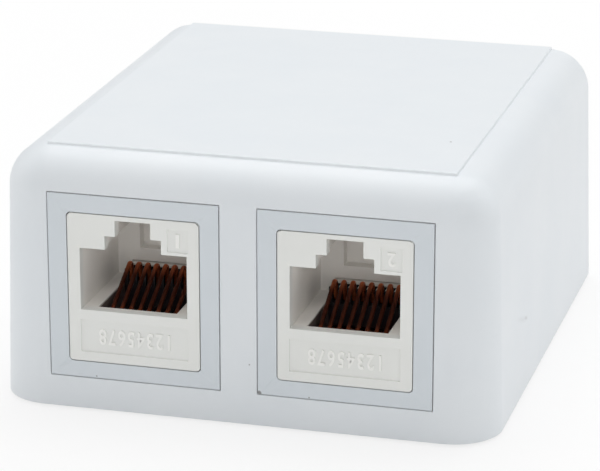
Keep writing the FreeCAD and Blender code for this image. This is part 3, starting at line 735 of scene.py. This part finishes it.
@dataclass
class KeystoneJack:
    """One keystone jack in its bezel: housing, carrier, contacts, board, block, terminals and cap."""

    side: Side
    offset: float = 11.5
    centre_height: float = 13.9
    edge: float = 0.05
    contact_count: int = 8
    contact_pitch: float = 1.016
    contact_width: float = 0.5
    contact_gauge: float = 0.35
    contact_slope: float = 28.0
    contact_bend: float = 1.0
    contact_run: float = 5.6
    contact_peak: float = 10.1
    contact_crest: float = 0.18
    contact_tip: float = 2.4
    contact_tail: float = 16.1
    tip_bend: float = 0.45
    end_step: float = 0.1
    field_depth: float = 0.2
    field_height: float = -5.4
    digit_height: float = 1.8
    digit_rise: float = 0.17
    digit_lift: float = 0.02
    row_extra: float = 0.75
    mark_across: float = 4.925
    mark_height: float = 6.05
    mark_size: float = 1.5

    @property
    def middle(self) -> float:
        """The jack's middle across the box."""
        return self.side.value * self.offset

    def node(self, name: str) -> bpy.types.Object:
        """This jack's solid of a name."""
        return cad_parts[f"{self.side.label}_{name}"]

    def contact_path(self) -> np.ndarray:
        """The middle line of a contact: forward from the board, round its fold, up its slope and over.

        The straight runs meet at two arcs, each centred one bend radius inside both of its runs, and
        the end hangs straight down into the comb.

        Returns:
            Rows of (depth, height) in the frame, in millimetres.
        """
        slope = math.radians(self.contact_slope)
        corner = self.tip_bend * (math.tan(math.pi / 4 + slope / 2) - 1) - self.contact_crest
        fold = self.contact_peak - (self.contact_run + corner) / math.tan(slope)
        lower = (fold + self.contact_bend / math.tan(slope / 2), self.contact_bend - self.contact_run)
        upper = (self.contact_peak - self.tip_bend, -self.contact_crest - self.tip_bend)
        local = np.concatenate([
            [(self.contact_tail, -self.contact_run)],
            [(self.contact_tail - self.end_step, -self.contact_run)],
            arc(lower, self.contact_bend, 270, 90 + self.contact_slope, 20),
            arc(upper, self.tip_bend, 90 + self.contact_slope, 0, 12),
            [(self.contact_peak, self.end_step - self.contact_tip)],
            [(self.contact_peak, -self.contact_tip)],
        ])
        return local + np.array([FACE, self.centre_height])

    def contacts(self) -> None:
        """Sweep the eight contacts, each in place of its solid."""
        path = self.contact_path()
        profile = rounded_profile(self.contact_width, self.contact_gauge, 2.0, 16)
        # Painted shade darkens the contacts along their middle, about 6 mm behind the face.
        metal = SpringMetal(f"{self.side.label}_contact_metal", srgb(190, 104, 66), srgb(64, 32, 28),
                            roughness=0.26, shaded=(FACE + 6.0, 4.0)).material()
        for number in range(1, self.contact_count + 1):
            across = self.middle + self.contact_pitch * (number - (self.contact_count + 1) / 2)
            strip = tube(f"{self.side.label}_contact_strip_{number}", path, profile, across)
            dress([strip], metal)
            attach(strip, "cover")
            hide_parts(f"{self.side.label}_contact_{number}")
        LOG.info("%s contacts: %d strips", self.side.label, self.contact_count)

    def labels(self, plastic: bpy.types.Material) -> None:
        """Stand contact numbers in the label field and the port's number in the square recess.

        Args:
            plastic: What the digits are made of.
        """
        floor = FACE + self.field_depth - self.digit_rise / 2 + self.digit_lift
        span = self.contact_pitch * (self.contact_count - 1) + self.row_extra
        row = digits(f"{self.side.label}_contact_numbers", "12345678",
                     (span, self.digit_height, self.digit_rise),
                     (self.middle, floor, self.centre_height + self.field_height))
        number, wide = {Side.LEFT: ("1", 0.4), Side.RIGHT: ("2", 0.85)}[self.side]
        port = digits(f"{self.side.label}_port_number", number, (wide, self.mark_size, self.digit_rise),
                      (self.middle + self.mark_across, floor, self.centre_height + self.mark_height))
        for piece in (row, port):
            dress([piece], plastic)
            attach(piece, "cover")
            LOG.info("%s: %d points", piece.name, len(piece.data.vertices))

    def plastics(self) -> dict[str, MouldedPlastic]:
        """The finishes of the jack's mouldings and of its raised digits.

        Returns:
            A finish for each piece's name.
        """
        label, middle, height = self.side.label, self.middle, self.centre_height
        specks = {
            Side.LEFT: (Spot((-15.8, FACE, 4.0), (0.12, 0.3, 0.12), 0.55),),
            Side.RIGHT: (Spot((7.7, FACE, 3.95), (0.12, 0.3, 0.12), 0.55),
                         Spot((2.25, FACE, 3.95), (0.3, 0.3, 0.3), 0.75)),
        }[self.side]
        # Painted light on the bezel's walls just behind the face, which stand in shade.
        sleeve = Zone(srgb(254, 254, 254), (0.05, 0.3))
        # Painted light on the housing's walls inside the port.
        inside = Zone(srgb(254, 251, 246), (0.2, 1.8))
        # Painted shade in the trench below the contacts, and on what stands behind it in this finish.
        trench = Zone(srgb(120, 110, 104), (1.3, 2.2), (middle, height - 4.4), (4.6, 1.65))
        # The carrier's own pale colour along its top edge; below it the carrier's dark tint is painted
        # shade.
        crown = Zone(srgb(238, 233, 227), (9.9, 10.4), (middle, height), (10.0, 1.18), 0.08)
        # Painted shade: a darkening in the port's lower back corner, where the contacts start.
        painted_corner_shade = Spot((middle - 5.6, FACE + 9.5, height - 1.2), (1.8, 4.5, 3.6), 0.28,
                     ragged=0.1, core=0.0)
        return {
            "bezel": MouldedPlastic(f"{label}_bezel_plastic", srgb(222, 228, 233), srgb(217, 224, 229),
                                    spots=specks, zones=(sleeve,)),
            "jack_housing": MouldedPlastic(f"{label}_jack_plastic", srgb(241, 242, 239),
                                           srgb(236, 237, 233), roughness=0.38,
                                           zones=(inside, trench), spots=(painted_corner_shade,)),
            # The carrier's dark tint is painted shade, standing for the dark of the port's depths.
            "contact_carrier": MouldedPlastic(f"{label}_carrier_plastic", srgb(44, 40, 41),
                                              srgb(34, 31, 33), zones=(crown,)),
            # The digits' lighter copy of the housing's plastic is painted light on the raised digits.
            "digits": MouldedPlastic(f"{label}_digit_plastic", srgb(252, 252, 249),
                                     srgb(247, 247, 243), roughness=0.4),
        }

    def build(self) -> None:
        """Soften and dress the jack's mouldings, and build what stands in them.

        The terminal block and rear cap share the housing's finish, so its painted trench shade shows on
        them.
        """
        label = self.side.label
        plastics = {name: finish.material() for name, finish in self.plastics().items()}
        raised = plastics.pop("digits")
        plastics["terminal_block"] = plastics["rear_cap"] = plastics["jack_housing"]
        for name, material in plastics.items():
            soften(self.node(name), self.edge)
            dress([self.node(name)], material)
            LOG.info("%s %s: softened and dressed", label, name)
        board = BoardLaminate(f"{label}_board_laminate", srgb(28, 92, 58), srgb(62, 120, 84),
                              srgb(196, 196, 192), (self.middle, FACE, self.centre_height),
                              self.contact_pitch, self.contact_run)
        dress([self.node("circuit_board")], board.material())
        terminal = SpringMetal(f"{label}_terminal_metal", srgb(206, 204, 198), srgb(150, 140, 126),
                               wear=0.35)
        numbers = range(1, self.contact_count + 1)
        dress([self.node(f"terminal_{number}") for number in numbers], terminal.material())
        LOG.info("%s board and %d terminals: dressed", label, len(numbers))
        self.contacts()
        self.labels(raised)


# ---------------------------------------------------------------------------------------------
# The studio
# ---------------------------------------------------------------------------------------------
@dataclass(frozen=True)
class Lamp:
    """A square softbox: place and aim in millimetres, side in millimetres, and power in watts."""

    name: str
    place: Triple
    side: float
    power: float
    aim: Triple = (0.0, 0.0, 14.0)

    def build(self) -> None:
        """Hang the softbox, facing its aim."""
        light = bpy.data.lights.new(self.name, "AREA")
        light.shape = "SQUARE"
        light.size = self.side * MM
        light.energy = self.power
        lamp = link(self.name, light)
        lamp.location = Vector(self.place) * MM
        heading = Vector(self.aim) - Vector(self.place)
        lamp.rotation_euler = heading.to_track_quat("-Z", "Y").to_euler()


@dataclass
class Studio:
    """The pale floor, the soft light and the camera."""

    floor_half: float = 3000.0
    floor_drop: float = 0.05
    floor_glow: float = 0.75
    world_strength: float = 0.3
    azimuth: float = 15.161
    elevation: float = 18.367
    distance: float = 309.09
    target: Triple = (6.714, -28.9, 21.797)
    lens: float = 179.74
    sensor: float = 36.0
    lamps: tuple[Lamp, ...] = (
        Lamp("top_lamp", (0.0, 0.0, 900.0), 900.0, 3.3),
        Lamp("back_lamp", (0.0, 500.0, 800.0), 900.0, 3.6),
        Lamp("right_lamp", (850.0, 450.0, 300.0), 1000.0, 2.6),
        Lamp("left_lamp", (-900.0, 0.0, 300.0), 1000.0, 2.5),
        Lamp("front_lamp", (240.0, -880.0, 320.0), 800.0, 1.7),
    )

    def floor(self) -> None:
        """Lay the floor, which glows to the camera in part, so that it looks white and keeps shadows."""
        half = self.floor_half
        corners = np.array([(-half, -half), (half, -half), (half, half), (-half, half)])
        corners = np.column_stack([corners, np.full(4, -self.floor_drop)])
        plane = mesh_object("floor", corners, [(0, 1, 2, 3)])
        tree = Tree("floor_paper")
        seen = tree.node("LightPath")
        camera = Term(tree, seen.outputs["Is Camera Ray"])
        share = camera.most(Term(tree, seen.outputs["Is Glossy Ray"]))
        share = share.most(Term(tree, seen.outputs["Is Transmission Ray"])) * self.floor_glow
        paper = tree.colour(tree.noise(0.02, 3.0), srgb(247, 247, 247), srgb(243, 243, 243))
        lit = tree.node("BsdfDiffuse", None, {"Color": paper})
        own = tree.node("Emission", None, {"Color": (1.0, 1.0, 1.0, 1.0), "Strength": 1.0})
        mixed = tree.node("MixShader", None, {0: share, 1: lit.outputs[0], 2: own.outputs[0]})
        tree.node("OutputMaterial", None, {"Surface": mixed.outputs[0]})
        dress([plane], tree.material)

    def light(self) -> None:
        """Light the object from all round, with softboxes above, behind, in front and at both sides."""
        world = bpy.data.worlds.new("studio_world")
        world.use_nodes = True
        background = world.node_tree.nodes["Background"]
        background.inputs["Color"].default_value = (1.0, 1.0, 1.0, 1.0)
        background.inputs["Strength"].default_value = self.world_strength
        bpy.context.scene.world = world
        for lamp in self.lamps:
            lamp.build()

    def camera(self) -> None:
        """Stand the camera at its azimuth and elevation from the target."""
        azimuth, elevation = math.radians(self.azimuth), math.radians(self.elevation)
        level = math.cos(elevation)
        back = Vector((math.sin(azimuth) * level, -math.cos(azimuth) * level, math.sin(elevation)))
        data = bpy.data.cameras.new("camera")
        data.sensor_width = self.sensor
        data.lens = self.lens
        data.clip_start, data.clip_end = 0.01, 20.0
        camera = link("camera", data)
        camera.location = (Vector(self.target) + back * self.distance) * MM
        camera.rotation_euler = (-back).to_track_quat("-Z", "Y").to_euler()
        bpy.context.scene.camera = camera

    def build(self) -> None:
        """Set the whole studio."""
        bpy.context.scene.view_settings.view_transform = "Standard"
        self.floor()
        self.light()
        self.camera()
        LOG.info("studio: %d lamps, camera at %.1f degrees round and %.1f up", len(self.lamps),
                 self.azimuth, self.elevation)


def main() -> None:
    """Build the object's looks piece by piece, then the studio."""
    logging.basicConfig(level=logging.INFO, format="%(name)s %(message)s")
    Cover().build()
    WallBase().build()
    for side in Side:
        KeystoneJack(side).build()
    Studio().build()


if __name__ == "__main__":
    main()
